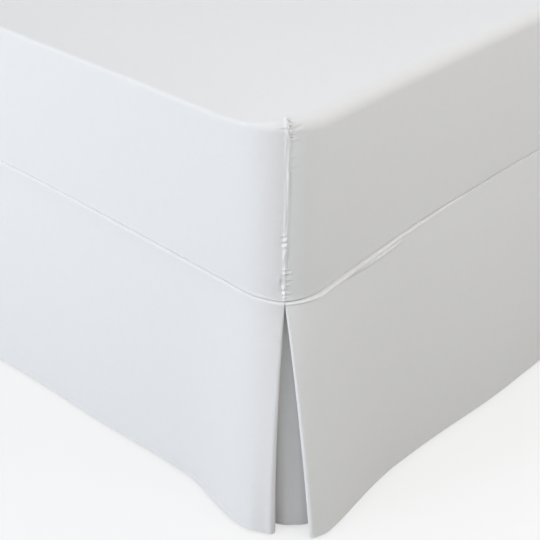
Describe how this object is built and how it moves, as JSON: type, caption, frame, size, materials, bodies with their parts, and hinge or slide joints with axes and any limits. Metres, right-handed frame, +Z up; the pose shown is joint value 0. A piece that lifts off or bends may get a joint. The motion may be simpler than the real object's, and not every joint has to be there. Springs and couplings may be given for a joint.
{
  "type": "fitted valance sheet on a mattress and bed base",
  "caption": "Plain fitted bed sheet with a tailored skirt down to the floor, pleated open at the corners, drawn over a mattress on a bed base.",
  "frame": {"origin": "on the floor, under the middle of the bed", "axes": "+X to the bed's right side as seen from its foot, +Y from foot to head, +Z up"},
  "size_m": [1.469, 1.984, 0.666],
  "materials": {
    "white_cotton": "matt white plain-weave cotton percale",
    "mattress_ticking": "plain off-white ticking",
    "base_upholstery": "timber box covered in plain grey fabric"
  },
  "bodies": {
    "root": {"fitted_cover": "white_cotton", "skirt_foot": "white_cotton", "skirt_right": "white_cotton", "skirt_head": "white_cotton", "skirt_left": "white_cotton", "pleat_foot_right": "white_cotton", "pleat_right_head": "white_cotton", "pleat_head_left": "white_cotton", "pleat_left_foot": "white_cotton", "mattress": "mattress_ticking", "bed_base": "base_upholstery"}
  },
  "joints": []
}
